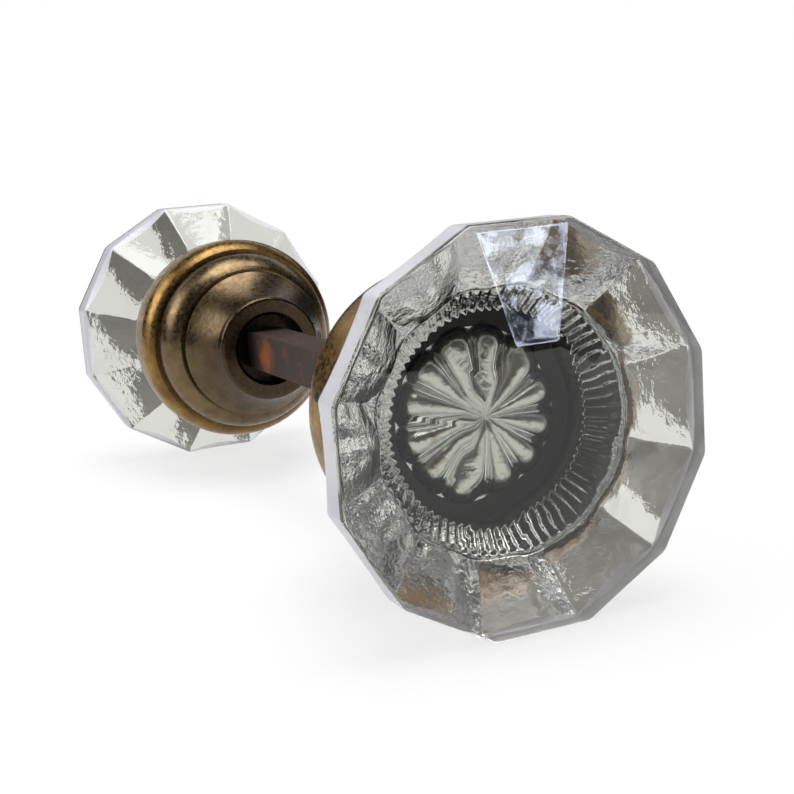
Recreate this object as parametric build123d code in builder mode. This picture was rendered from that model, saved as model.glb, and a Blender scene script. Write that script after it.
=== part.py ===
"""Pair of pressed-glass door knobs on a square spindle.

The spindle lies along Y with its middle at the origin, and Z is up. Each knob is drawn in its own
frame: its depth is counted from the plane of the glass rim towards the middle of the spindle, and
its radius from the spindle's axis. The front knob is at -Y and the rear knob at +Y.
"""
import os
from math import cos, radians, sin, sqrt

from build123d import *

# --- driving dimensions, millimetres -------------------------------------------------------------

# Whole set
RIM_TO_RIM = 133.1          # between the rim planes of the two glass knobs
FIT_GAP = 0.05              # radial clearance of a running fit
SEAT_GAP = 0.05             # clearance between faces that are set in each other
FILLER_GAP = 0.12           # what the filler has shrunk away from the glass and the brass

# Glass knob
POINTS = 12                 # points round the glass
GLASS_WIDTH = 50.8          # across two opposite points
BAND = 5.4                  # width of the flat band round the rim
TABLE_WIDTH = 20.4          # across the points of the small flat in front
TABLE_RISE = 2.2            # how far that flat stands in front of the rim plane
BACK_LENGTH = 6.8           # fluted back, from the band to the waist
STEM_RADIUS = 16.0          # stem at the waist and in the ferrule's lip
STEM_END_RADIUS = 12.4      # stem at its far end
STEM_LENGTH = 10.3          # from the waist to the stem's end
FLUTE_RADIUS = 20.0         # of the round cutter that hollows each flute
FLUTE_SINK = 1.0            # depth of a flute below the flat of the back

# Star pressed into the end of the stem, its foil and the pad behind it
PETALS = 12
PETAL_INNER = 1.6           # from the axis to the centre of a petal's inner end
PETAL_RADIUS = 2.1
STAR_MARGIN = 1.4           # glass left round the star
FOIL = 0.2
PAD_MARGIN = 0.6            # glass left round the foil and the pad
PAD = 0.8

# Spun ferrule
LIP_BEHIND_WAIST = 1.3
LIP_GRIP = 0.4              # straight stem left behind the edge of the lip
LIP_GAP = 0.2               # between the lip and the glass
WALL = 0.7
BEAD_BULGE = 1.6            # how far the bead stands out beyond the lip
BEAD_ROLL = 3.4             # from the crest of the bead to the floor's outside

# Cast shank
BOSS_RADIUS = 9.5           # boss that passes through the ferrule's floor
PEEN_LIP = 1.3              # how far its end is peened over
PEEN_THICKNESS = 1.6
PEEN_SPACE = 1.2            # between the pad and the peened end
SOCKET_FLOOR = 1.3          # metal left in front of the square socket
SHOULDER_STEP = 0.7         # from the ferrule's side in to the shoulder
SHOULDER_EDGE = 0.6         # straight edge of the shoulder next to the ferrule
SHOULDER_END_RADIUS = 13.5
SHOULDER_LENGTH = 5.4
QUIRK = 0.8                 # depth of the quirk behind the shoulder
QUIRK_WIDTH = 0.7
CONE_START_RADIUS = 13.1    # where the hollow cone of the neck starts
CONE_END_RADIUS = 8.9
CONE_HOLLOW = 0.38          # how far the cone is hollow
NECK_LENGTH = 15.5          # from the ferrule's floor to the end of the neck
COLLAR_RADIUS = 9.2
COLLAR_LENGTH = 2.0
COLLAR_STEP = 0.3           # length of the slope between the cone and the collar
COLLAR_ROUND = 0.8
MOUTH_GAP = 1.39            # from the corners of the socket out to its round mouth
MOUTH_LENGTH = 3.0
MOUTH_CHAMFER = 0.6

# Square spindle
SPINDLE_SIDE = 6.35         # a quarter of an inch
ENGAGEMENT = 13.5           # length of the spindle inside each neck
SPINDLE_CHAMFER = 0.5

# Set screw
SCREW_INSET = 5.5           # from the end of the neck to the screw's axis
SCREW_RADIUS = 2.08
SCREW_HEAD_RADIUS = 2.6
SCREW_HEAD = 1.8
SCREW_LENGTH = 5.78         # from the tip to the face under the head
SCREW_TIP_GAP = 0.05        # between the tip and the spindle when it is just slack
SCREW_POINT = 0.7           # chamfer of the tip
SPOT_GAP = 0.3              # round the head, in its counterbore
SLOT_WIDTH = 0.8
SLOT_DEPTH = 0.9

# --- sizes that follow ---------------------------------------------------------------------------

STEP_ANGLE = 360 / POINTS
POINT_RADIUS = GLASS_WIDTH / 2
HALF_FLAT = radians(STEP_ANGLE / 2)
FLAT_RADIUS = POINT_RADIUS * cos(HALF_FLAT)
WAIST_DEPTH = BAND + BACK_LENGTH
WAIST_POINT_RADIUS = STEM_RADIUS / cos(HALF_FLAT)
STEM_END_DEPTH = WAIST_DEPTH + STEM_LENGTH
PETAL_OUTER = STEM_END_RADIUS - STAR_MARGIN - PETAL_RADIUS
PAD_RADIUS = STEM_END_RADIUS - PAD_MARGIN
FOIL_BACK = STEM_END_DEPTH + FOIL
PAD_BACK = FOIL_BACK + PAD
PEEN_FACE = PAD_BACK + PEEN_SPACE
FLOOR_INSIDE = PEEN_FACE + PEEN_THICKNESS
FLOOR_DEPTH = FLOOR_INSIDE + WALL
LIP_DEPTH = WAIST_DEPTH + LIP_BEHIND_WAIST
TAPER_DEPTH = LIP_DEPTH + LIP_GRIP
LIP_RADIUS = STEM_RADIUS + LIP_GAP + WALL
BEAD_RADIUS = LIP_RADIUS + BEAD_BULGE
BEAD_DEPTH = FLOOR_DEPTH - BEAD_ROLL
PEEN_RADIUS = BOSS_RADIUS + PEEN_LIP
SHOULDER_RADIUS = LIP_RADIUS - SHOULDER_STEP
SHOULDER_END = (SHOULDER_END_RADIUS, FLOOR_DEPTH + SHOULDER_LENGTH)
QUIRK_RADIUS = SHOULDER_END_RADIUS - QUIRK
NECK_END_DEPTH = FLOOR_DEPTH + NECK_LENGTH
COLLAR_DEPTH = NECK_END_DEPTH - COLLAR_LENGTH
CONE_END = (CONE_END_RADIUS, COLLAR_DEPTH - COLLAR_STEP)
SOCKET_SIDE = SPINDLE_SIDE + 2 * FIT_GAP
SOCKET_START = PEEN_FACE + SOCKET_FLOOR
MOUTH_RADIUS = SOCKET_SIDE / sqrt(2) + MOUTH_GAP
SCREW_DEPTH = NECK_END_DEPTH - SCREW_INSET
SCREW_TIP = SPINDLE_SIDE / 2 + SCREW_TIP_GAP
SCREW_SEAT = SCREW_TIP + SCREW_LENGTH
NECK_END = RIM_TO_RIM / 2 - NECK_END_DEPTH
SPINDLE_LENGTH = 2 * (NECK_END + ENGAGEMENT)


def knob_plane(side):
    """The rim plane of one knob; its Z points along the spindle towards the middle."""
    return Plane(origin=(0, side * RIM_TO_RIM / 2, 0), x_dir=(1, 0, 0), z_dir=(0, -side, 0))


def section_plane(place):
    """The plane through the axis on which a turned profile is drawn as (radius, depth)."""
    return Plane(origin=place.origin, x_dir=place.x_dir, z_dir=-place.y_dir)


def turning_axis(place):
    return Axis(place.origin, place.z_dir)


def screw_plane(place, height):
    """Across the set screw, which stands on +X, at a height above the spindle's axis."""
    return Plane(origin=place.origin + place.z_dir * SCREW_DEPTH + place.x_dir * height,
                 z_dir=place.x_dir)


def flute_plane(place, index):
    """Start of one flute's cutter: its Z runs down the slope of the back, above the flute."""
    slope_depth = WAIST_DEPTH - BAND
    slope_radius = FLAT_RADIUS - STEM_RADIUS
    slope = sqrt(slope_depth ** 2 + slope_radius ** 2)
    along = (-slope_radius / slope, slope_depth / slope)
    outward = (slope_depth / slope, slope_radius / slope)
    lift = FLUTE_RADIUS - FLUTE_SINK
    centre_radius = (FLAT_RADIUS + STEM_RADIUS) / 2 + outward[0] * lift
    centre_depth = (BAND + WAIST_DEPTH) / 2 + outward[1] * lift
    angle = radians(index * STEP_ANGLE)
    ray = place.x_dir * cos(angle) + place.y_dir * sin(angle)
    origin = place.origin + ray * centre_radius + place.z_dir * centre_depth
    return Plane(origin=origin, z_dir=ray * along[0] + place.z_dir * along[1])


def petals(place, radius, mode):
    """Add or cut round-ended bars, the petals of the star, in the part that is being built."""
    span = PETAL_OUTER - PETAL_INNER
    for index in range(PETALS):
        angle = radians((index + 0.5) * 360 / PETALS)
        ray = place.x_dir * cos(angle) + place.y_dir * sin(angle)
        start = place.origin + place.z_dir * STEM_END_DEPTH + ray * PETAL_INNER
        with Locations(Plane(origin=start + ray * span / 2, z_dir=ray)):
            Cylinder(radius, span, mode=mode)
        with Locations(start, start + ray * span):
            Sphere(radius, mode=mode)


def finished(part, label):
    """Name one piece and write its file."""
    part.label = label
    export_step(part, f"parts/{label}.step")


def glass_knob(place):
    """Twelve-point glass: facets and table in front, flat band, fluted back, stem with the star."""
    corner = STEP_ANGLE / 2
    with BuildPart() as glass:
        with BuildSketch(place):
            RegularPolygon(POINT_RADIUS, POINTS, rotation=corner)
        with BuildSketch(place.offset(-TABLE_RISE)):
            RegularPolygon(TABLE_WIDTH / 2, POINTS, rotation=corner)
        loft(ruled=True)
        with BuildSketch(place):
            RegularPolygon(POINT_RADIUS, POINTS, rotation=corner)
        extrude(amount=BAND)
        with BuildSketch(place.offset(BAND)):
            RegularPolygon(POINT_RADIUS, POINTS, rotation=corner)
        with BuildSketch(place.offset(WAIST_DEPTH)):
            RegularPolygon(WAIST_POINT_RADIUS, POINTS, rotation=corner)
        loft(ruled=True)
        for index in range(POINTS):
            with Locations(flute_plane(place, index)):
                Cylinder(FLUTE_RADIUS, 2 * GLASS_WIDTH, mode=Mode.SUBTRACT)
        with BuildSketch(section_plane(place)):
            with BuildLine():
                Polyline((0, BAND), (STEM_RADIUS, BAND), (STEM_RADIUS, TAPER_DEPTH),
                         (STEM_END_RADIUS, STEM_END_DEPTH), (0, STEM_END_DEPTH), close=True)
            make_face()
        revolve(axis=turning_axis(place))
        petals(place, PETAL_RADIUS, Mode.SUBTRACT)
    return glass.part


def star_foil(place):
    """Thin foil pressed into the petals, with a flat rim over the end of the stem."""
    with BuildPart() as foil:
        with BuildSketch(place.offset(STEM_END_DEPTH)):
            Circle(PAD_RADIUS)
        extrude(amount=FOIL)
        petals(place, PETAL_RADIUS - SEAT_GAP, Mode.ADD)
        petals(place, PETAL_RADIUS - SEAT_GAP - FOIL, Mode.SUBTRACT)
        with BuildSketch(place.offset(FOIL_BACK)):
            Circle(PAD_RADIUS)
        extrude(amount=2 * PETAL_RADIUS, mode=Mode.SUBTRACT)
    return foil.part


def foil_pad(place):
    """Disc that presses the foil against the glass."""
    with BuildPart() as pad:
        with BuildSketch(place.offset(FOIL_BACK)):
            Circle(PAD_RADIUS)
        extrude(amount=PAD)
    return pad.part


def cup_outline(inset, depth_inset):
    """Outline of the ferrule's round side, from the lip over the bead to the floor."""
    crest = (BEAD_RADIUS - inset, BEAD_DEPTH)
    lip = (LIP_RADIUS - inset, LIP_DEPTH)
    seam = (LIP_RADIUS - inset, FLOOR_DEPTH - depth_inset)
    TangentArc(crest, lip, tangent=(0, -1))
    TangentArc(crest, seam, tangent=(0, 1))
    Polyline(lip, (0, LIP_DEPTH), (0, FLOOR_DEPTH - depth_inset), seam)


def ferrule(place):
    """Spun cup with a bead round its side and a hole in its floor for the shank's boss."""
    with BuildPart() as cup:
        with BuildSketch(section_plane(place)):
            with BuildLine():
                cup_outline(0, 0)
            make_face()
            with BuildLine():
                cup_outline(WALL, WALL)
            make_face(mode=Mode.SUBTRACT)
        revolve(axis=turning_axis(place))
        with BuildSketch(place.offset(FLOOR_DEPTH)):
            Circle(BOSS_RADIUS + SEAT_GAP)
        extrude(amount=-2 * WALL, mode=Mode.SUBTRACT)
    return cup.part


def cement_ring(place):
    """Filler between the glass stem, the inside of the ferrule and the peened boss."""
    inset = WALL + FILLER_GAP
    stem_top = STEM_RADIUS + FILLER_GAP
    stem_end = STEM_END_RADIUS + FILLER_GAP
    with BuildPart() as filler:
        with BuildSketch(section_plane(place)):
            with BuildLine():
                cup_outline(inset, WALL)
            make_face()
            with BuildLine():
                Polyline((0, LIP_DEPTH), (stem_top, LIP_DEPTH), (stem_top, TAPER_DEPTH),
                         (stem_end, STEM_END_DEPTH),
                         (stem_end, PAD_BACK), (PEEN_RADIUS + FILLER_GAP, PAD_BACK),
                         (PEEN_RADIUS + FILLER_GAP, FLOOR_DEPTH), (0, FLOOR_DEPTH), close=True)
            make_face(mode=Mode.SUBTRACT)
        revolve(axis=turning_axis(place))
    return filler.part


def shank(place):
    """Cast neck: peened boss, rounded shoulder, quirk, hollow cone and collar, square socket."""
    quirk_start = (QUIRK_RADIUS, SHOULDER_END[1])
    quirk_end = (QUIRK_RADIUS, SHOULDER_END[1] + QUIRK_WIDTH)
    cone_start = (CONE_START_RADIUS, SHOULDER_END[1] + 2 * QUIRK_WIDTH)
    cone_middle = ((cone_start[0] + CONE_END[0]) / 2 - CONE_HOLLOW,
                   (cone_start[1] + CONE_END[1]) / 2)
    with BuildPart() as neck:
        with BuildSketch(section_plane(place)):
            with BuildLine():
                Polyline((0, PEEN_FACE), (PEEN_RADIUS, PEEN_FACE), (PEEN_RADIUS, FLOOR_INSIDE),
                         (BOSS_RADIUS, FLOOR_INSIDE), (BOSS_RADIUS, FLOOR_DEPTH),
                         (SHOULDER_RADIUS, FLOOR_DEPTH),
                         (SHOULDER_RADIUS, FLOOR_DEPTH + SHOULDER_EDGE))
                TangentArc((SHOULDER_RADIUS, FLOOR_DEPTH + SHOULDER_EDGE), SHOULDER_END,
                           tangent=(0, 1))
                Polyline(SHOULDER_END, quirk_start, quirk_end, cone_start)
                ThreePointArc(cone_start, cone_middle, CONE_END)
                Polyline(CONE_END, (COLLAR_RADIUS, COLLAR_DEPTH),
                         (COLLAR_RADIUS, NECK_END_DEPTH), (0, NECK_END_DEPTH), (0, PEEN_FACE))
            make_face()
        revolve(axis=turning_axis(place))
        neck_end = neck.faces().sort_by(turning_axis(place))[-1]
        fillet(neck_end.edges(), COLLAR_ROUND)
        with BuildSketch(place.offset(SOCKET_START)):
            Rectangle(SOCKET_SIDE, SOCKET_SIDE)
        extrude(amount=NECK_END_DEPTH, mode=Mode.SUBTRACT)
        with BuildSketch(section_plane(place)):
            with BuildLine():
                Polyline((0, NECK_END_DEPTH - MOUTH_LENGTH),
                         (MOUTH_RADIUS, NECK_END_DEPTH - MOUTH_LENGTH),
                         (MOUTH_RADIUS, NECK_END_DEPTH - MOUTH_CHAMFER),
                         (MOUTH_RADIUS + MOUTH_CHAMFER, NECK_END_DEPTH),
                         (0, NECK_END_DEPTH), close=True)
            make_face()
        revolve(axis=turning_axis(place), mode=Mode.SUBTRACT)
        with BuildSketch(screw_plane(place, 0)):
            Circle(SCREW_RADIUS + FIT_GAP)
        extrude(amount=SHOULDER_RADIUS, mode=Mode.SUBTRACT)
        with BuildSketch(screw_plane(place, SCREW_SEAT)):
            Circle(SCREW_HEAD_RADIUS + SPOT_GAP)
        extrude(amount=SHOULDER_RADIUS, mode=Mode.SUBTRACT)
    return neck.part


def set_screw(place):
    """Slotted screw that clamps the neck to the spindle, drawn just slack."""
    with BuildPart() as screw:
        with BuildSketch(screw_plane(place, SCREW_TIP)):
            Circle(SCREW_RADIUS)
        extrude(amount=SCREW_LENGTH)
        chamfer(screw.edges().sort_by(Axis.X)[0], SCREW_POINT)
        with BuildSketch(screw_plane(place, SCREW_SEAT)):
            Circle(SCREW_HEAD_RADIUS)
        extrude(amount=SCREW_HEAD)
        with BuildSketch(screw_plane(place, SCREW_SEAT + SCREW_HEAD)):
            Rectangle(SLOT_WIDTH, 3 * SCREW_HEAD_RADIUS)
        extrude(amount=-SLOT_DEPTH, mode=Mode.SUBTRACT)
    return screw.part


def square_spindle():
    """Square bar through both necks, chamfered at its ends."""
    with BuildPart() as bar:
        Box(SPINDLE_SIDE, SPINDLE_LENGTH, SPINDLE_SIDE)
        ends = bar.faces().sort_by(Axis.Y)
        chamfer(ends[0].edges() + ends[-1].edges(), SPINDLE_CHAMFER)
    return bar.part


# --- the set -------------------------------------------------------------------------------------

os.makedirs("parts", exist_ok=True)
finished(square_spindle(), "square_spindle")
for knob, side in (("front", -1), ("rear", 1)):
    place = knob_plane(side)
    finished(glass_knob(place), f"{knob}_glass_knob")
    finished(star_foil(place), f"{knob}_star_foil")
    finished(foil_pad(place), f"{knob}_foil_pad")
    finished(cement_ring(place), f"{knob}_cement_ring")
    finished(ferrule(place), f"{knob}_ferrule")
    finished(shank(place), f"{knob}_shank")
    finished(set_screw(place), f"{knob}_set_screw")
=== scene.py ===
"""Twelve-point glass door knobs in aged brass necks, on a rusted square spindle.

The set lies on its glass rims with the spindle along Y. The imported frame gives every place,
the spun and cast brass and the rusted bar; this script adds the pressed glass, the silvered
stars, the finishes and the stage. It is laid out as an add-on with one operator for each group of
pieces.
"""
from math import atan, cos, pi, radians, sin, tan

import bpy
import numpy as np
from bpy.props import FloatProperty, FloatVectorProperty, IntProperty, PointerProperty
from bpy.types import Operator, Panel, PropertyGroup
from mathutils import Matrix, Vector


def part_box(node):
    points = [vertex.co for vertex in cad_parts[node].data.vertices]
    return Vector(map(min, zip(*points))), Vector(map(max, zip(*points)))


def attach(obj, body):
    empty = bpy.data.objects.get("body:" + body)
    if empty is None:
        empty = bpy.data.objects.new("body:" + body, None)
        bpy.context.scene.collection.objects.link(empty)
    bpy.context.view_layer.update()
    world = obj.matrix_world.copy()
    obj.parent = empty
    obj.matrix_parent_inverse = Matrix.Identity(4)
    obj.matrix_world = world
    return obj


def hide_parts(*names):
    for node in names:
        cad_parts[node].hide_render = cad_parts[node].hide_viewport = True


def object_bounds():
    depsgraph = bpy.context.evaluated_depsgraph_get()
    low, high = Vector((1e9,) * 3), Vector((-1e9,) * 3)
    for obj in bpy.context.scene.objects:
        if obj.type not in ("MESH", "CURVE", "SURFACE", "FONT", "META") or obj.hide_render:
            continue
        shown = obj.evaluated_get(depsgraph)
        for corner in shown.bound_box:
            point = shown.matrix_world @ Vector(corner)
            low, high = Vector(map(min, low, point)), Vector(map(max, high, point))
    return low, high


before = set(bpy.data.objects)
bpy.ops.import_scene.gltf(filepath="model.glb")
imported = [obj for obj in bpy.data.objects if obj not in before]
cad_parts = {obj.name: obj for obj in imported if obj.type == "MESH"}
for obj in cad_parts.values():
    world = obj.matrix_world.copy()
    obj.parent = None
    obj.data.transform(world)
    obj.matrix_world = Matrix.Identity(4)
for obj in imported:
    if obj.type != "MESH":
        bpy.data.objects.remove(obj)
cad_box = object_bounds()

bl_info = {
    "name": "Glass door knob set",
    "version": (1, 0, 0),
    "blender": (4, 5, 0),
    "location": "View3D > Sidebar > Door knobs",
    "description": "Pressed glass knobs with silvered stars in brass necks on a square spindle",
    "category": "Object",
}

MM = 0.001
KNOBS = {"front": -1, "rear": 1}
TURN = 2 * pi

# How finely the glass and the foil are divided.
ROUND_A_POINT = 36
SIDE_RINGS = 96
EDGE_RINGS = 3
STAR_RINGS = 64
FOIL_ROUND = 360
FOIL_RINGS = 90
PROFILE_STEP = 0.7 * MM
CROWDING = 0.12

# Small shapes of the glass: the open middle of the rings, the soft join of band and back, the
# rounded end of the stem, the hub of the star, and where the foil's two faces lie behind the glass.
TABLE_EYE = 0.3 * MM
STAR_EYE = 0.12 * MM
BAND_SOFT = 0.35 * MM
STEM_EDGE_LENGTH = 0.5 * MM
STEM_EDGE_WIDTH = 0.35 * MM
WAIST_BLEND_START = 1.2 * MM
WAIST_BLEND_LENGTH = 2.0 * MM
RIBS_START = 1.0 * MM
RIBS_FADE = 1.0 * MM
HUB_DEPTH = 0.5 * MM
HUB_RADIUS = 1.3 * MM
FOIL_FACES = (0.06 * MM, 0.18 * MM)
FOIL_MARGIN = 0.6 * MM

# Shares and powers of the moulded shapes: where on the band the front's rings end and the side's
# start, how deep a flute is at its ends and how much deeper half way, and how a petal is formed.
FRONT_END, SIDE_START = 0.40, 0.45
FLUTE_ENDS, FLUTE_SWELL = 0.75, 1.4
PETAL_NOTCH = 0.10
PETAL_ROUND = 2.2
PETAL_CLOSE = 11
PETAL_SLOPE = 0.42

# Marks of age, each a place with the distances over which it fades; then painted shade and light.
RUST_PLACE = (-0.0032, 0.018, -0.0005)
RUST_FADE = (3.6 * MM, 6.8 * MM)
PIT_PLACE = (-0.0182, -0.0445, 0.0037)
PIT_FADE = (0.75 * MM, 0.95 * MM)
# Painted shade: the shank's mouth round the bar darkens inside these radii from the axis.
MOUTH_SHADE_FADE = (5.6 * MM, 6.6 * MM)
# Painted light on the cement near the lip: full to 19 mm behind the rim, gone by 21.5 mm.
BOND_LIGHT_FADE = (21.5 * MM, 19.0 * MM)

# The stage.
CAMERA_PLACE = (-0.07650, -0.19915, 0.03420)
CAMERA_RIGHT = (0.90440, -0.42059, -0.07193)
CAMERA_UP = (0.14280, 0.13949, 0.97987)
CAMERA_BACK = (-0.40209, -0.89647, 0.18621)
CAMERA_LENS = 60.85
FLOOR_HALF = 4.0
FLOOR_FADE = (0.08, 0.25)
FLOOR_SHADE = 0.72
WINDOW_FACET = (0.0, -0.068, 0.017)
WINDOW_AWAY = (0.500, -0.854, 0.145)
WINDOW_SIZE = (0.13, 0.15)
WINDOW_FRAME = (0.060, 0.064)
WINDOW_GLOW = 14.0
CARD_NEAR, CARD_FAR, CARD_BEND, CARD_TOP = -0.05, 0.10, 0.03, 0.12
CARD_ALONG = (0.031, 0.30)
CARD_LIFT = 0.3 * MM


def length(name, description, default_mm):
    """A length property whose default is given in millimetres."""
    return FloatProperty(name=name, description=description, default=default_mm * MM,
                         unit="LENGTH", precision=5)


def colour(name, description, default):
    """A colour property."""
    return FloatVectorProperty(name=name, description=description, default=default,
                               subtype="COLOR", size=3, min=0, max=1)


class GlassSizes(PropertyGroup):
    """Sizes of one pressed glass knob."""
    points: IntProperty(name="Points", description="Points round the glass", default=12)
    width: length("Width", "Across two opposite points", 50.8)
    band: length("Band", "Width of the flat band round the rim", 5.4)
    table: length("Table", "Across the points of the flat in front", 20.4)
    rise: length("Table rise", "How far the front flat stands out", 2.2)
    back: length("Back", "Length of the fluted back", 6.8)
    waist: length("Waist radius", "Stem where it meets the back", 16.0)
    stem_end: length("Stem end radius", "Stem at its far end", 12.4)
    stem: length("Stem", "Length of the stem", 10.3)
    grip: length("Grip", "Straight stem in the ferrule's lip", 1.5)
    cone: length("Cone", "Length of the ribbed cone behind the lip", 3.2)
    neck: length("Neck radius", "Stem behind the ribbed cone", 12.9)
    corner: length("Corner radius", "Rounding of the twelve corners", 1.9)
    edge: length("Edge radius", "Rounding of the rim's edges", 0.5)
    flute: length("Flute", "Depth of the hollow flutes", 1.3)
    ribs: IntProperty(name="Ribs", description="Ribs round the stem", default=72)
    rib: length("Rib", "Depth of the ribs on the stem", 0.45)
    table_edge: length("Table edge", "Rounding between the table and the facets", 13.0)
    star: length("Star", "Radius of the star pressed into the stem", 10.2)
    star_rise: length("Star rise", "Height of the star's petals", 2.3)


class FinishColours(PropertyGroup):
    """Colours of the finishes."""
    glass: colour("Glass", "Smoky tint of the glass", (0.70, 0.71, 0.66))
    edge: colour("Ground edge", "Pale ground band round the rim", (0.84, 0.83, 0.90))
    bond: colour("Cement on glass", "Dark filler seen through the stem", (0.010, 0.009, 0.006))
    # Painted light on the cement near the lip.
    bond_light: colour("Lit cement", "Filler near the lip", (0.09, 0.085, 0.06))
    foil: colour("Foil", "Silvered star", (0.96, 0.96, 0.95))
    foil_stain: colour("Foil stain", "Tarnish on the star", (0.62, 0.48, 0.34))
    brass: colour("Ferrule brass", "Bare brass where the ferrule is worn", (0.29, 0.175, 0.058))
    patina: colour("Ferrule patina", "Aged brown of the ferrule", (0.095, 0.052, 0.020))
    cast_brass: colour("Shank brass", "Bare brass where the shank is worn", (0.17, 0.12, 0.065))
    cast_patina: colour("Shank patina", "Olive brown of the shank", (0.055, 0.038, 0.024))
    # This colour is also the painted shade in the shank's mouth round the bar.
    pit: colour("Pit", "Dark pit in the ferrule", (0.012, 0.009, 0.007))
    steel: colour("Bar", "Dark oxide of the bar", (0.038, 0.024, 0.020))
    rust: colour("Rust", "Orange rust on the bar", (0.20, 0.060, 0.014))
    screw: colour("Screw", "Dull steel of the set screws", (0.10, 0.085, 0.07))
    filler: colour("Filler", "Dark cement in the ferrule", (0.06, 0.05, 0.035))
    pad: colour("Pad", "Pressed paper behind the foil", (0.25, 0.20, 0.15))


def waist_depth(sizes):
    """Depth of the waist behind the rim plane."""
    return sizes.band + sizes.back


def end_depth(sizes):
    """Depth of the stem's end behind the rim plane."""
    return waist_depth(sizes) + sizes.stem


def knob_frame(side):
    """Rim plane and direction of one knob: (y of the rim plane, y direction of depth)."""
    sizes = bpy.context.scene.knob_glass
    name = "front" if side < 0 else "rear"
    low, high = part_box(f"{name}_glass_knob")
    outer = low[1] if side < 0 else high[1]
    return outer - side * sizes.rise, -side


def skin(name, rings, first, last):
    """A closed-round skin over rings of points, each ring joined to the next by quads.

    rings is an array (ring, place round the ring, xyz); first and last are single points that
    close the ends with triangles. The faces are turned outwards by the sign of the volume.
    """
    count, around = rings.shape[:2]
    points = rings.reshape(-1, 3)
    ring = np.arange(count - 1)[:, None] * around
    here = np.arange(around)[None, :]
    after = (here + 1) % around
    quads = np.stack([ring + here, ring + after, ring + around + after, ring + around + here],
                     axis=-1).reshape(-1, 4)
    faces = quads.tolist()
    tip = np.full(around, len(points))
    base = (count - 1) * around
    faces += np.stack([tip, after[0], here[0]], axis=-1).tolist()
    faces += np.stack([tip + 1, base + here[0], base + after[0]], axis=-1).tolist()
    points = np.vstack([points, first, last])
    a, b, c = (points[quads[:, i]] for i in (0, 1, 2))
    if np.einsum("ij,ij->i", a, np.cross(b, c)).sum() < 0:
        faces = [face[::-1] for face in faces]
    mesh = bpy.data.meshes.new(name)
    mesh.from_pydata(points.tolist(), [], faces)
    mesh.update()
    mesh.polygons.foreach_set("use_smooth", np.full(len(faces), True))
    piece = bpy.data.objects.new(name, mesh)
    bpy.context.scene.collection.objects.link(piece)
    return piece


def rounded(corners, step):
    """A profile through corners (radius, depth, rounding), as an array of (radius, depth).

    Each corner is replaced by an arc: a point on it is the corner's circle centre plus its
    radius times a direction that turns evenly from one side to the other. Straight stretches
    get points about one step apart.
    """
    corners = np.asarray(corners, float)
    path = [corners[0, :2]]
    for before, corner, after in zip(corners[:-2], corners[1:-1], corners[2:]):
        p = corner[:2]
        u = (before[:2] - p) / np.linalg.norm(before[:2] - p)
        v = (after[:2] - p) / np.linalg.norm(after[:2] - p)
        half = np.arccos(np.clip(u @ v, -1, 1)) / 2
        if corner[2] <= 0 or half > pi / 2 - 1e-3:
            path.append(p)
            continue
        reach = corner[2] / tan(half)
        centre = p + (u + v) / np.linalg.norm(u + v) * corner[2] / sin(half)
        start, end = p + u * reach - centre, p + v * reach - centre
        count = max(4, int(np.ceil((pi - 2 * half) / radians(9))))
        share = np.linspace(0, 1, count + 1)[:, None]
        turn = pi - 2 * half
        arc = (np.sin((1 - share) * turn) * start + np.sin(share * turn) * end) / sin(turn)
        path.extend(centre + arc)
    path.append(corners[-1, :2])
    path = np.array(path)
    runs = np.linalg.norm(np.diff(path, axis=0), axis=1)
    pieces = [np.linspace(a, b, max(1, int(np.ceil(run / step))), endpoint=False)
              for a, b, run in zip(path[:-1], path[1:], runs) if run > 0]
    return np.vstack(pieces + [path[-1:]])


def place_rings(radius, depth, angle, side):
    """Points at a radius and angle round the spindle, at a depth behind the rim plane."""
    rim, inwards = knob_frame(side)
    return np.stack([radius * np.cos(angle), rim + inwards * depth + 0 * radius,
                     radius * np.sin(angle)], axis=-1)


def corner_ratio(angle, sizes):
    """Radius of the rounded twelve-sided outline over its corner radius, at each angle.

    On a flat it is the flat's distance over the cosine of the angle from its middle. Near a
    corner it is where the ray meets the circle that rounds the corner.
    """
    step = TURN / sizes.points
    point = sizes.width / 2
    flat = point * cos(step / 2)
    from_flat = (angle + step / 2) % step - step / 2
    from_corner = step / 2 - np.abs(from_flat)
    centre = (flat - sizes.corner) / cos(step / 2)
    tangent = atan((flat - sizes.corner) * tan(step / 2) / flat)
    inside = np.maximum(sizes.corner ** 2 - (centre * np.sin(from_corner)) ** 2, 0)
    on_arc = centre * np.cos(from_corner) + np.sqrt(inside)
    on_flat = flat / np.cos(from_flat)
    return np.where(np.abs(from_flat) > tangent, on_arc, on_flat) / point


def star_height(radius, angle, sizes):
    """Height of the pressed star over the end of the stem, towards the front.

    A petal's crest is level, and its sides fall in a half ellipse whose height grows with the
    petal's width. The whole is closed by a rounded edge where the petals end, and has a small
    hollow hub in the middle.
    """
    across = (angle * sizes.points / TURN) % 1 * 2 - 1
    bulge = np.sqrt(np.maximum(1 - np.abs(across) ** PETAL_ROUND, 0))
    reach = sizes.star * (1 - PETAL_NOTCH + PETAL_NOTCH * bulge)
    share = np.clip(radius / reach, 0, 1)
    closing = np.sqrt(np.maximum(1 - share ** PETAL_CLOSE, 0))
    width = TURN * radius / sizes.points
    hub = HUB_DEPTH * np.exp(-(radius / HUB_RADIUS) ** 2)
    return closing * (sizes.star_rise - PETAL_SLOPE * width * (1 - bulge) - hub)


def sizes_round(sizes):
    """Places round one ring of the glass."""
    return sizes.points * ROUND_A_POINT


def ring_angles(sizes):
    """Angles round one ring: even, but crowded a little to the corners by a sine of the place."""
    step = TURN / sizes.points
    fine = np.linspace(-1, 1, ROUND_A_POINT + 1)[:-1]
    one = (fine + CROWDING * np.sin(pi * fine)) * step / 2
    return (one[None, :] + np.arange(sizes.points)[:, None] * step).reshape(-1)


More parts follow.
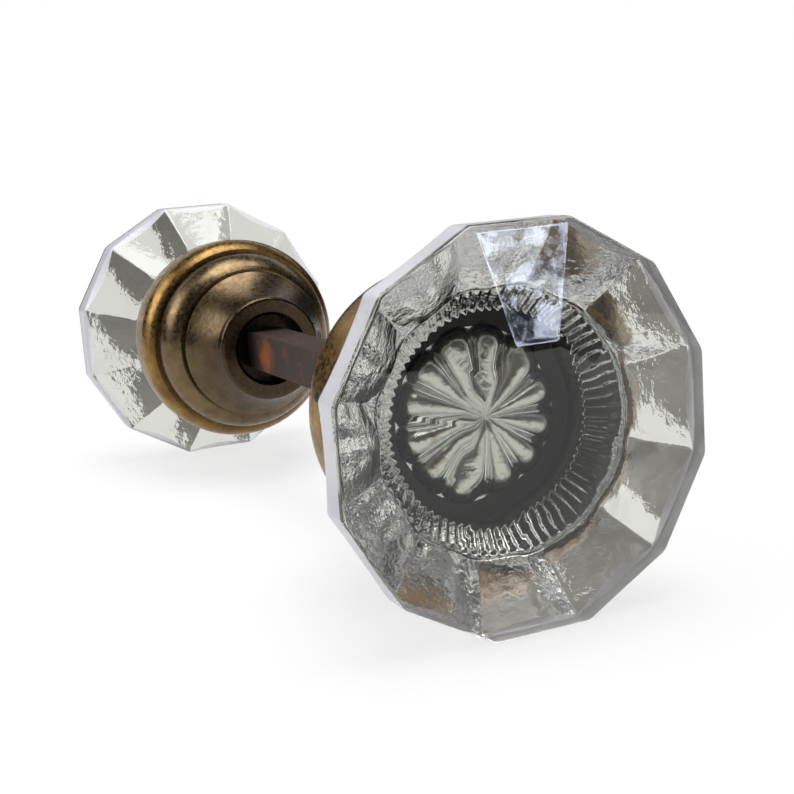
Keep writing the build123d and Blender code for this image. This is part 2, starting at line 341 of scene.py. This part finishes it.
def table_and_facets(sizes, ratio):
    """Radius and depth of the rings over the front.

    A rounded profile runs from the middle of the table over its edge, down a facet and round the
    rim's edge onto the band. Its radius at each angle is multiplied by the outline's ratio there.
    """
    point = sizes.width / 2
    profile = rounded([(TABLE_EYE, -sizes.rise, 0),
                       (sizes.table / 2, -sizes.rise, sizes.table_edge),
                       (point, 0, sizes.edge), (point, sizes.band * FRONT_END, 0)], PROFILE_STEP)
    radius = profile[:, :1] * ratio[None, :]
    return radius, profile[:, 1:] + 0 * radius


def fluted_back(sizes, depth, angle, ratio):
    """Radius of the band and the fluted back at each depth and angle.

    The band keeps the outline. The back's corners slope evenly in to the waist, and between two
    corners a flute is hollowed by a parabola, deepest in the middle of the flat and half way
    back. Where band and back meet, a soft minimum of the two rounds the join.
    """
    step = TURN / sizes.points
    point = sizes.width / 2
    from_flat = (angle + step / 2) % step - step / 2
    hollow = 1 - (from_flat / (step / 2)) ** 2
    share = np.clip((depth - sizes.band) / sizes.back, -0.3, 1.2)
    flute = sizes.flute * (FLUTE_ENDS + FLUTE_SWELL * share * (1 - share))
    slope = point + (sizes.waist / cos(step / 2) - point) * share
    back = slope * ratio[None, :] - flute * hollow[None, :]
    band = point * ratio[None, :] + 0 * depth
    return -BAND_SOFT * np.logaddexp(-band / BAND_SOFT, -back / BAND_SOFT)


def ribbed_stem(sizes, depth, angle):
    """Radius of the stem at each depth and angle.

    It is straight in the ferrule's lip, falls along a cone, then tapers slowly to its end. The
    ribs are a raised cosine of the angle, cut in from the lip on and fading out down the taper.
    """
    waist = waist_depth(sizes)
    cone = np.clip((depth - waist - sizes.grip) / sizes.cone, 0, 1)
    rest = np.clip((depth - waist - sizes.grip - sizes.cone)
                   / (sizes.stem - sizes.grip - sizes.cone), 0, 1)
    plain = (sizes.waist + (sizes.neck - sizes.waist) * cone
             + (sizes.stem_end - sizes.neck) * rest)
    rib = (0.5 + 0.5 * np.cos(sizes.ribs * angle)) ** 0.7
    ribbed = np.clip((depth - waist - RIBS_START) / RIBS_FADE, 0, 1) * (1 - rest) ** 2
    return plain - sizes.rib * ribbed * rib[None, :]


def glass_rings(sizes, side):
    """Rings of one glass knob, from the middle of the table round to the middle of the star.

    The front, the side, the stem's rounded end and the star follow each other. Down the side the
    back gives way to the stem over 2 mm at the waist, by a smooth step. The end is a quarter of
    an ellipse, and the star's rings shrink evenly to its middle.
    """
    angle = ring_angles(sizes)
    ratio = corner_ratio(angle, sizes)
    end = end_depth(sizes)
    front_rings, front_depth = table_and_facets(sizes, ratio)

    depth = np.linspace(sizes.band * SIDE_START, end - STEM_EDGE_LENGTH, SIDE_RINGS)[:, None]
    past_start = depth - waist_depth(sizes) + WAIST_BLEND_START
    blend = np.clip(past_start / WAIST_BLEND_LENGTH, 0, 1)
    blend = blend * blend * (3 - 2 * blend)
    side_rings = (fluted_back(sizes, depth, angle, ratio) * (1 - blend)
                  + ribbed_stem(sizes, depth, angle) * blend)
    side_depth = depth + 0 * side_rings

    last = side_rings[-1] - STEM_EDGE_WIDTH
    edge = np.linspace(0, 1, EDGE_RINGS + 1)[1:, None]
    edge_rings = side_rings[-1] * (1 - edge) + last * edge
    edge_depth = end - STEM_EDGE_LENGTH * (1 - np.sqrt(1 - (1 - edge) ** 2)) + 0 * edge_rings
    inner = np.linspace(0, 1, STAR_RINGS + 2)[1:-1, None]
    star_rings = last * (1 - inner) + STAR_EYE * inner
    star_depth = end - star_height(star_rings, angle[None, :], sizes)

    radius = np.vstack([front_rings, side_rings, edge_rings, star_rings])
    depths = np.vstack([front_depth, side_depth, edge_depth, star_depth])
    star_start = len(radius) - STAR_RINGS
    return place_rings(radius, depths, angle[None, :], side), star_start


def set_material(piece, *materials):
    """Gives a piece these materials and no others."""
    piece.data.materials.clear()
    for material in materials:
        piece.data.materials.append(material)


# --- materials -----------------------------------------------------------------------------------

def new_material(name):
    """A material with its Principled shader, returned with its nodes' helper."""
    material = bpy.data.materials.new(name)
    material.use_nodes = True
    nodes = material.node_tree.nodes
    return material, nodes["Principled BSDF"], NodeMaker(material.node_tree)


class NodeMaker:
    """Adds nodes to one tree, with their values and links given together."""

    def __init__(self, tree):
        self.tree = tree

    def add(self, kind, values=None, settings=None, **links):
        """A new node with its inputs' values, its own settings and its links."""
        node = self.tree.nodes.new(kind)
        for key, value in (settings or {}).items():
            setattr(node, key, value)
        for key, value in (values or {}).items():
            node.inputs[key].default_value = value
        for key, source in links.items():
            self.tree.links.new(source, node.inputs[key.replace("_", " ")])
        return node

    def link(self, source, target):
        """Joins two sockets."""
        self.tree.links.new(source, target)

    def put(self, value, socket):
        """Sets a socket's value, or links it where the value is another socket."""
        if hasattr(value, "links"):
            self.link(value, socket)
        else:
            socket.default_value = value

    def position(self):
        """Place in the object's own coordinates."""
        return self.add("ShaderNodeTexCoord").outputs["Object"]

    def parts(self, vector):
        """The X, Y and Z of a vector."""
        node = self.add("ShaderNodeSeparateXYZ")
        self.link(vector, node.inputs[0])
        return node.outputs

    def noise(self, vector, scale, detail=4.0, roughness=0.55):
        """Level of a soft noise at a place."""
        node = self.add("ShaderNodeTexNoise", {"Detail": detail, "Roughness": roughness})
        self.link(vector, node.inputs["Vector"])
        self.put(scale, node.inputs["Scale"])
        return node.outputs["Fac"]

    def ramp(self, source, low, high, start=0.0, end=1.0):
        """A mask that goes from start to end as source goes from low to high."""
        node = self.add("ShaderNodeMapRange", settings={"interpolation_type": "SMOOTHSTEP"})
        for value, socket in zip((source, low, high, start, end), node.inputs):
            self.put(value, socket)
        return node.outputs["Result"]

    def mix(self, mask, first, second):
        """Mixes two colours, each a colour or a socket."""
        node = self.add("ShaderNodeMix", settings={"data_type": "RGBA"})
        self.put(mask, node.inputs[0])
        for socket, value in ((node.inputs[6], first), (node.inputs[7], second)):
            self.put(value if hasattr(value, "links") else (*value, 1), socket)
        return node.outputs[2]

    def math(self, operation, first, second=0.5):
        """Result of one sum on two values; an operation on one value ignores the second."""
        node = self.add("ShaderNodeMath", settings={"operation": operation})
        self.put(first, node.inputs[0])
        self.put(second, node.inputs[1])
        return node.outputs[0]

    def vector_math(self, operation, first, second=(0, 0, 0)):
        """Result of one sum on two vectors: a value for a length or distance, else a vector."""
        node = self.add("ShaderNodeVectorMath", settings={"operation": operation})
        self.put(first, node.inputs[0])
        self.put(second, node.inputs[1])
        return node.outputs["Value" if operation in {"LENGTH", "DISTANCE"} else "Vector"]

    def bump(self, height, strength, distance):
        """Normal of a surface raised by a height."""
        node = self.add("ShaderNodeBump", {"Strength": strength, "Distance": distance})
        self.link(height, node.inputs["Height"])
        return node.outputs["Normal"]

    def group(self, tree, **values):
        """One use of a shared group, with its own values; returns its outputs."""
        node = self.add("ShaderNodeGroup", settings={"node_tree": tree})
        for key, value in values.items():
            self.put(value, node.inputs[key.replace("_", " ")])
        return node.outputs


def new_group(name, inputs, outputs):
    """An empty shared group, made once, with its helper and its two end nodes."""
    tree = bpy.data.node_groups.new(name, "ShaderNodeTree")
    for label, kind, default in inputs:
        socket = tree.interface.new_socket(label, in_out="INPUT", socket_type=kind)
        if default is not None:
            socket.default_value = default
    for label, kind in outputs:
        tree.interface.new_socket(label, in_out="OUTPUT", socket_type=kind)
    make = NodeMaker(tree)
    return tree, make, make.add("NodeGroupInput").outputs, make.add("NodeGroupOutput").inputs


def shared(name, build):
    """The group of this name, built the first time it is asked for."""
    return bpy.data.node_groups.get(name) or build(name)


def mould_waves(name="mould_waves"):
    """Height left by a worn mould: slow waves, with fine wrinkles added by their share."""
    tree, make, given, result = new_group(
        name, (("Place", "NodeSocketVector", None), ("Waves", "NodeSocketFloat", 150.0),
               ("Wrinkles", "NodeSocketFloat", 700.0), ("Share", "NodeSocketFloat", 0.3)),
        (("Height", "NodeSocketFloat"),))
    slow = make.noise(given["Place"], given["Waves"], 1.0)
    fine = make.noise(given["Place"], given["Wrinkles"], 3.0)
    make.link(make.math("ADD", slow, make.math("MULTIPLY", fine, given["Share"])),
              result["Height"])
    return tree


def tarnish(name="tarnish"):
    """Patches of tarnish or rust between two levels of a noise, and a fine grain."""
    tree, make, given, result = new_group(
        name, (("Place", "NodeSocketVector", None), ("Scale", "NodeSocketFloat", 260.0),
               ("Low", "NodeSocketFloat", 0.4), ("High", "NodeSocketFloat", 0.6),
               ("Grain", "NodeSocketFloat", 1400.0)),
        (("Patches", "NodeSocketFloat"), ("Grain", "NodeSocketFloat")))
    patches = make.noise(given["Place"], given["Scale"], 6.0, 0.6)
    make.link(make.ramp(patches, given["Low"], given["High"]), result["Patches"])
    make.link(make.noise(given["Place"], given["Grain"], 5.0), result["Grain"])
    return tree


def distances(name="distances"):
    """How far a place is from the spindle's axis, and how far along it from the middle."""
    tree, make, given, result = new_group(
        name, (("Place", "NodeSocketVector", None),),
        (("Radius", "NodeSocketFloat"), ("Along", "NodeSocketFloat")))
    across = make.vector_math("MULTIPLY", given["Place"], (1, 0, 1))
    make.link(make.vector_math("LENGTH", across), result["Radius"])
    make.link(make.math("ABSOLUTE", make.parts(given["Place"])["Y"]), result["Along"])
    return tree


def old_glass(name, tint, roughness, share, strength, clearness=1.0):
    """Old pressed glass: faint tint, slow waves left by the mould and fine wrinkles."""
    material, shader, make = new_material(name)
    shader.inputs["Transmission Weight"].default_value = clearness
    shader.inputs["IOR"].default_value = 1.52
    shader.inputs["Roughness"].default_value = roughness
    shader.inputs["Base Color"].default_value = (*tint, 1)
    waves = make.group(shared("mould_waves", mould_waves), Place=make.position(), Share=share)
    make.link(make.bump(waves["Height"], strength, 0.4 * MM), shader.inputs["Normal"])
    return material


def cement_bond():
    """Filler that clings to the glass stem, with painted light: olive near the lip, black further
    in.
    """
    look = bpy.context.scene.knob_finish
    material, shader, make = new_material("cement_on_glass")
    place = make.position()
    far = make.group(shared("distances", distances), Place=place)
    rim = abs(knob_frame(-1)[0])
    # Painted light: the cement is lighter near the lip and black further in.
    lit = make.ramp(far["Along"], rim - BOND_LIGHT_FADE[0], rim - BOND_LIGHT_FADE[1])
    spots = make.group(shared("tarnish", tarnish), Place=place, Scale=900.0, Low=0.3, High=0.7)
    mask = make.math("MULTIPLY", lit, make.math("ADD", spots["Patches"], 0.4))
    make.link(make.mix(mask, look.bond, look.bond_light), shader.inputs["Base Color"])
    shader.inputs["Roughness"].default_value = 0.5
    return material


def silver_foil():
    """Bright foil with soft creases and brown tarnish."""
    look = bpy.context.scene.knob_finish
    material, shader, make = new_material("silver_foil")
    place = make.position()
    stain = make.group(shared("tarnish", tarnish), Place=place, Scale=380.0, Low=0.58,
                       High=0.72, Grain=700.0)
    make.link(make.mix(stain["Patches"], look.foil, look.foil_stain),
              shader.inputs["Base Color"])
    shader.inputs["Metallic"].default_value = 1.0
    shader.inputs["Roughness"].default_value = 0.22
    make.link(make.bump(stain["Grain"], 0.6, 0.5 * MM), shader.inputs["Normal"])
    return material


def aged_brass(name, patina, worn_tint, wear_low, wear_high, roughness):
    """Brass under patina, worn bright beyond a radius.

    It has fine lathe lines, one pit, and painted shade darkening the mouth round the bar.
    """
    look = bpy.context.scene.knob_finish
    material, shader, make = new_material(name)
    place = make.position()
    far = make.group(shared("distances", distances), Place=place)
    old = make.group(shared("tarnish", tarnish), Place=place, Scale=220.0, Low=0.3, High=0.7)
    worn = make.ramp(far["Radius"], wear_low, wear_high, 0.15, 1.0)
    mask = make.math("MULTIPLY", worn, make.math("ADD", old["Patches"], 0.35))
    skin_tint = make.mix(mask, patina, worn_tint)
    blot = make.math("ADD", make.vector_math("DISTANCE", place, PIT_PLACE),
                     make.math("MULTIPLY", old["Grain"], 0.5 * MM))
    pit = make.ramp(blot, *PIT_FADE, 1.0, 0.0)
    # Painted shade: the shank's mouth round the bar is darkened towards the pit's colour.
    mouth_shade = make.ramp(far["Radius"], *MOUTH_SHADE_FADE, 0.85, 0.0)
    dark = make.math("MAXIMUM", pit, mouth_shade)
    make.link(make.mix(dark, skin_tint, look.pit), shader.inputs["Base Color"])
    shader.inputs["Metallic"].default_value = 1.0
    rough = make.ramp(old["Grain"], 0.3, 0.7, roughness - 0.06, roughness + 0.12)
    make.link(rough, shader.inputs["Roughness"])
    turned = make.add("ShaderNodeCombineXYZ")
    make.link(far["Radius"], turned.inputs["X"])
    make.link(far["Along"], turned.inputs["Y"])
    lines = make.noise(turned.outputs[0], 3000.0, 2.0)
    height = make.math("ADD", old["Grain"], make.math("MULTIPLY", lines, 0.6))
    make.link(make.bump(height, 0.12, 0.2 * MM), shader.inputs["Normal"])
    return material


def rusted_bar():
    """Dark oxide, with one orange patch of rust by the rear neck and small spots elsewhere."""
    look = bpy.context.scene.knob_finish
    material, shader, make = new_material("rusted_bar")
    place = make.position()
    rust = make.group(shared("tarnish", tarnish), Place=place, Scale=330.0, Low=0.52,
                      High=0.68, Grain=900.0)
    near = make.math("ADD", make.vector_math("DISTANCE", place, RUST_PLACE),
                     make.math("MULTIPLY", make.noise(place, 330.0), 5 * MM))
    patch = make.ramp(near, *RUST_FADE, 1.0, 0.0)
    mask = make.math("MAXIMUM", patch, make.math("MULTIPLY", rust["Patches"], 0.25))
    make.link(make.mix(mask, look.steel, look.rust), shader.inputs["Base Color"])
    shader.inputs["Roughness"].default_value = 0.6
    shader.inputs["Specular IOR Level"].default_value = 0.25
    make.link(make.bump(rust["Grain"], 0.5, 0.4 * MM), shader.inputs["Normal"])
    return material


def grained(name, tint, roughness):
    """Plain finish of the screws and the hidden pieces, with fine grain."""
    material, shader, make = new_material(name)
    grain = make.group(shared("tarnish", tarnish), Place=make.position(), Grain=600.0)["Grain"]
    dark = tuple(0.6 * part for part in tint)
    make.link(make.mix(grain, dark, tint), shader.inputs["Base Color"])
    shader.inputs["Roughness"].default_value = roughness
    return material


# --- operators -----------------------------------------------------------------------------------

class KNOB_OT_glass(Operator):
    """Make both pressed glass knobs"""
    bl_idname = "knob.glass"
    bl_label = "Glass knobs"

    def execute(self, context):
        sizes = context.scene.knob_glass
        look = context.scene.knob_finish
        finishes = (old_glass("polished_glass", look.glass, 0.0, 0.1, 0.06),
                    old_glass("wrinkled_glass", look.glass, 0.0, 0.45, 0.7),
                    old_glass("ground_edge", look.edge, 0.35, 0.6, 0.5, 0.5), cement_bond())
        for name, side in KNOBS.items():
            rings, star_start = glass_rings(sizes, side)
            rim, inwards = knob_frame(side)
            first = (0, rim - inwards * sizes.rise, 0)
            hub = end_depth(sizes) - (sizes.star_rise - HUB_DEPTH)
            last = (0, rim + inwards * hub, 0)
            piece = skin(f"{name}_pressed_glass", rings, first, last)
            set_material(piece, *finishes)
            self.share_out(piece, sizes, (rings[..., 1] - rim) * inwards,
                           np.hypot(rings[..., 0], rings[..., 2]), star_start)
            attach(piece, f"{name}_knob")
            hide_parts(f"{name}_glass_knob")
        return {"FINISHED"}

    def share_out(self, piece, sizes, depth, radius, star_start):
        """Gives the ring faces their finish by depth: front, ground band, back, bonded stem."""
        depth, radius = depth[:-1].reshape(-1), radius[:-1].reshape(-1)
        ring = np.arange(len(depth)) // sizes_round(sizes)
        finish = np.zeros(len(piece.data.polygons), int)
        behind = finish[:len(depth)]
        behind[depth > sizes.edge] = 2
        behind[depth > sizes.band] = 1
        behind[depth > waist_depth(sizes) + sizes.grip + sizes.cone] = 3
        behind[(ring >= star_start) & (radius < sizes.star)] = 0
        piece.data.polygons.foreach_set("material_index", finish)


class KNOB_OT_stars(Operator):
    """Make the silvered foil in both stars"""
    bl_idname = "knob.stars"
    bl_label = "Star foils"

    def execute(self, context):
        """The foil's two faces follow the star's height, each a little further behind it."""
        sizes = context.scene.knob_glass
        foil = silver_foil()
        end = end_depth(sizes)
        angle = np.linspace(0, TURN, FOIL_ROUND + 1)[:-1][None, :]
        inner = np.linspace(STAR_EYE, sizes.stem_end - FOIL_MARGIN, FOIL_RINGS)[:, None]
        for name, side in KNOBS.items():
            radius = inner + 0 * angle
            height = star_height(radius, angle, sizes)
            outside, inside = (place_rings(radius, end - height + face, angle, side)
                               for face in FOIL_FACES)
            rings = np.concatenate([outside, inside[::-1]])
            rim, inwards = knob_frame(side)
            hub = end - sizes.star_rise + HUB_DEPTH
            first, last = ((0, rim + inwards * (hub + face), 0) for face in FOIL_FACES)
            piece = skin(f"{name}_silver_star", rings, first, last)
            set_material(piece, foil)
            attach(piece, f"{name}_knob")
            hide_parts(f"{name}_star_foil")
        return {"FINISHED"}


class KNOB_OT_metal(Operator):
    """Finish the brass, the screws, the bar and the hidden filler"""
    bl_idname = "knob.metal"
    bl_label = "Brass and steel"

    def execute(self, context):
        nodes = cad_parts
        look = context.scene.knob_finish
        ferrule = aged_brass("ferrule_brass", look.patina, look.brass,
                             wear_low=16 * MM, wear_high=18.6 * MM, roughness=0.28)
        shank = aged_brass("shank_brass", look.cast_patina, look.cast_brass,
                           wear_low=8 * MM, wear_high=17 * MM, roughness=0.27)
        screw = grained("screw_steel", look.screw, 0.4)
        cement = grained("dark_filler", look.filler, 0.85)
        pad = grained("pressed_paper", look.pad, 0.9)
        for name in KNOBS:
            set_material(nodes[f"{name}_ferrule"], ferrule)
            set_material(nodes[f"{name}_shank"], shank)
            set_material(nodes[f"{name}_set_screw"], screw)
            set_material(nodes[f"{name}_cement_ring"], cement)
            set_material(nodes[f"{name}_foil_pad"], pad)
        set_material(nodes["square_spindle"], rusted_bar())
        return {"FINISHED"}


class KNOB_OT_stage(Operator):
    """Lay the floor, hang the lamps and set the camera"""
    bl_idname = "knob.stage"
    bl_label = "Stage"

    def execute(self, context):
        scene = context.scene
        scene.view_settings.view_transform = "Standard"
        self.world(scene)
        self.floor()
        self.lamp("top_softbox", (0.05, -0.05, 0.75), 0.55, 5.0, (1.0, 0.99, 0.97))
        self.lamp("side_softbox", (-0.7, 0.25, 0.45), 0.5, 2.5, (1.0, 0.98, 0.95))
        self.window()
        self.card("dark_card", turn=(-95, 105), rise=(-1, 72), reach=1.3,
                  tint=(0.09, 0.09, 0.078))
        self.side_card()
        self.card("metal_flag", turn=(100, 250), rise=(-1, 24), reach=1.2,
                  tint=(0.06, 0.055, 0.05), glass=False)
        self.card("high_flag", turn=(100, 250), rise=(38, 88), reach=1.2,
                  tint=(0.22, 0.225, 0.22))
        self.camera(scene)
        return {"FINISHED"}

    def camera(self, scene):
        """Camera at its place, turned by its own right, up and back directions."""
        camera = bpy.data.objects.new("camera", bpy.data.cameras.new("camera"))
        scene.collection.objects.link(camera)
        camera.data.sensor_width = 36
        camera.data.lens = CAMERA_LENS
        camera.data.clip_start = 0.01
        turn = Matrix((CAMERA_RIGHT, CAMERA_UP, CAMERA_BACK)).transposed().to_4x4()
        camera.matrix_world = Matrix.Translation(CAMERA_PLACE) @ turn
        scene.camera = camera

    def world(self, scene):
        """White to the camera and in reflections and glass, grey as a light."""
        world = bpy.data.worlds.new("studio")
        scene.world = world
        world.use_nodes = True
        make = NodeMaker(world.node_tree)
        background = world.node_tree.nodes["Background"]
        seen = self.seen(make)
        make.link(make.mix(seen, (0.55, 0.56, 0.58), (1, 1, 1)), background.inputs["Color"])

    def seen(self, make):
        """1 on camera, glossy and transmission rays, 0 on the rays that light matt surfaces."""
        path = make.add("ShaderNodeLightPath")
        seen = make.math("MAXIMUM", path.outputs["Is Camera Ray"], path.outputs["Is Glossy Ray"])
        return make.math("MAXIMUM", seen, path.outputs["Is Transmission Ray"])

    def floor(self):
        """Floor under the set, with its soft shadows near it and plain white further off."""
        low = cad_box[0][2]
        corners = [(x * FLOOR_HALF, y * FLOOR_HALF, low)
                   for x, y in ((-1, -1), (1, -1), (1, 1), (-1, 1))]
        mesh = bpy.data.meshes.new("floor")
        mesh.from_pydata(corners, [], [(0, 1, 2, 3)])
        piece = bpy.data.objects.new("floor", mesh)
        bpy.context.scene.collection.objects.link(piece)
        material, shader, make = new_material("pale_floor")
        shader.inputs["Base Color"].default_value = (0.8, 0.8, 0.8, 1)
        shader.inputs["Roughness"].default_value = 0.9
        shader.inputs["Specular IOR Level"].default_value = 0.0
        white = make.add("ShaderNodeEmission", {"Color": (1, 1, 1, 1), "Strength": 1.0})
        mixer = make.add("ShaderNodeMixShader")
        far = make.vector_math("LENGTH", make.position())
        amount = make.ramp(far, *FLOOR_FADE, FLOOR_SHADE, 1.0)
        make.link(make.math("MULTIPLY", self.seen(make), amount), mixer.inputs[0])
        make.link(shader.outputs[0], mixer.inputs[1])
        make.link(white.outputs[0], mixer.inputs[2])
        output = material.node_tree.nodes["Material Output"]
        make.link(mixer.outputs[0], output.inputs["Surface"])
        set_material(piece, material)

    def card(self, name, turn, rise, reach, tint, glass=True):
        """Curved card round the set, seen only in glass and metal, or only in metal.

        It is part of a sphere: the angle round Z from the viewer's side and the angle above the
        floor run evenly over it.
        """
        round_z = np.radians(np.linspace(*turn, 33)) - pi / 2
        above = np.radians(np.linspace(*rise, 15))
        round_z, above = np.meshgrid(round_z, above)
        points = reach * np.stack([np.cos(round_z) * np.cos(above),
                                   np.sin(round_z) * np.cos(above), np.sin(above)], axis=-1)
        piece = self.sheet(name, points)
        set_material(piece, self.cloth(name, tint))
        piece.visible_transmission = glass

    def cloth(self, name, tint):
        """Matt cloth of one colour for a card."""
        material, shader, _ = new_material(f"{name}_cloth")
        shader.inputs["Base Color"].default_value = (*tint, 1)
        shader.inputs["Roughness"].default_value = 1.0
        return material

    def sheet(self, name, points):
        """A stage surface over a grid of points, seen neither directly nor by matt surfaces."""
        rows, columns = points.shape[:2]
        row, column = np.meshgrid(np.arange(rows - 1), np.arange(columns - 1), indexing="ij")
        start = (row * columns + column).reshape(-1)
        faces = np.stack([start, start + 1, start + columns + 1, start + columns], axis=-1)
        mesh = bpy.data.meshes.new(name)
        mesh.from_pydata(points.reshape(-1, 3).tolist(), [], faces.tolist())
        piece = bpy.data.objects.new(name, mesh)
        bpy.context.scene.collection.objects.link(piece)
        piece.visible_camera = piece.visible_diffuse = piece.visible_shadow = False
        return piece

    def side_card(self):
        """Grey card standing beside the rear neck and lying before it, seen only through glass.

        Its section is an L with a rounded corner, carried along X: it runs level just over the
        floor, turns up on an arc and then stands.
        """
        low = cad_box[0][2] + CARD_LIFT
        turn = np.linspace(0, pi / 2, 9)
        level = np.stack([np.linspace(CARD_NEAR, CARD_FAR, 6), np.full(6, low)])
        arc = np.stack([CARD_FAR + CARD_BEND * np.sin(turn),
                        low + CARD_BEND * (1 - np.cos(turn))])
        stand = np.stack([np.full(6, CARD_FAR + CARD_BEND),
                          np.linspace(low + CARD_BEND, CARD_TOP, 6)])
        section = np.concatenate([level, arc[:, 1:], stand[:, 1:]], axis=1)
        along, y = np.meshgrid(np.linspace(*CARD_ALONG, 12), section[0])
        z = section[1][:, None] + 0 * along
        piece = self.sheet("side_card", np.stack([along, y, z], axis=-1))
        set_material(piece, self.cloth("side_card", (0.20, 0.19, 0.18)))
        piece.visible_glossy = False

    def window(self):
        """Bluish window with dim shapes beyond it, seen only as a reflection.

        The sheet is flat: across and up run evenly along two directions square to its own. It
        stands where the top facet of the front glass mirrors it towards the camera.
        """
        away = Vector(WINDOW_AWAY)
        centre = Vector(WINDOW_FACET) + away
        across = Vector((0, 0, 1)).cross(away).normalized()
        up = away.cross(across)
        share = np.linspace(-0.5, 0.5, 9)
        wide, high = np.meshgrid(share * WINDOW_SIZE[0], share * WINDOW_SIZE[1])
        points = (np.array(centre) + wide[..., None] * np.array(across)
                  + high[..., None] * np.array(up))
        piece = self.sheet("window", points)
        material, _, make = new_material("window_light")
        shapes = make.ramp(make.noise(make.position(), 38.0, 6.0, 0.65), 0.46, 0.60)
        middle = make.vector_math("DISTANCE", make.position(), tuple(centre))
        edge_light = make.ramp(middle, *WINDOW_FRAME)
        view = make.mix(make.math("MAXIMUM", shapes, edge_light), (0.02, 0.025, 0.035),
                        (0.72, 0.80, 1.0))
        glow = make.add("ShaderNodeEmission", {"Strength": WINDOW_GLOW}, Color=view)
        make.link(glow.outputs[0], material.node_tree.nodes["Material Output"].inputs["Surface"])
        set_material(piece, material)
        piece.visible_transmission = False

    def lamp(self, name, place, size, power, tint):
        """Square area lamp, turned to shine at the middle of the set."""
        data = bpy.data.lights.new(name, "AREA")
        data.shape = "SQUARE"
        data.size = size
        data.energy = power
        data.color = tint
        lamp = bpy.data.objects.new(name, data)
        bpy.context.scene.collection.objects.link(lamp)
        away = Vector(place)
        lamp.matrix_world = (Matrix.Translation(away)
                             @ away.to_track_quat("Z", "Y").to_matrix().to_4x4())


class KNOB_PT_panel(Panel):
    """Sidebar panel that makes the set piece by piece"""
    bl_idname = "KNOB_PT_panel"
    bl_label = "Glass door knobs"
    bl_space_type = "VIEW_3D"
    bl_region_type = "UI"
    bl_category = "Door knobs"

    def draw(self, context):
        for operator in OPERATORS:
            self.layout.operator(operator.bl_idname)
        for group in (context.scene.knob_glass, context.scene.knob_finish):
            box = self.layout.box()
            for name in group.bl_rna.properties.keys():
                if name not in {"rna_type", "name"}:
                    box.prop(group, name)


GROUPS = {"knob_glass": GlassSizes, "knob_finish": FinishColours}
OPERATORS = (KNOB_OT_glass, KNOB_OT_stars, KNOB_OT_metal, KNOB_OT_stage)


def register():
    for name, group in GROUPS.items():
        bpy.utils.register_class(group)
        setattr(bpy.types.Scene, name, PointerProperty(type=group))
    for item in (*OPERATORS, KNOB_PT_panel):
        bpy.utils.register_class(item)


def unregister():
    for item in (KNOB_PT_panel, *reversed(OPERATORS)):
        bpy.utils.unregister_class(item)
    for name, group in GROUPS.items():
        delattr(bpy.types.Scene, name)
        bpy.utils.unregister_class(group)


def main():
    """Makes the whole set."""
    register()
    bpy.ops.knob.glass()
    bpy.ops.knob.stars()
    bpy.ops.knob.metal()
    bpy.ops.knob.stage()


if __name__ == "__main__":
    main()
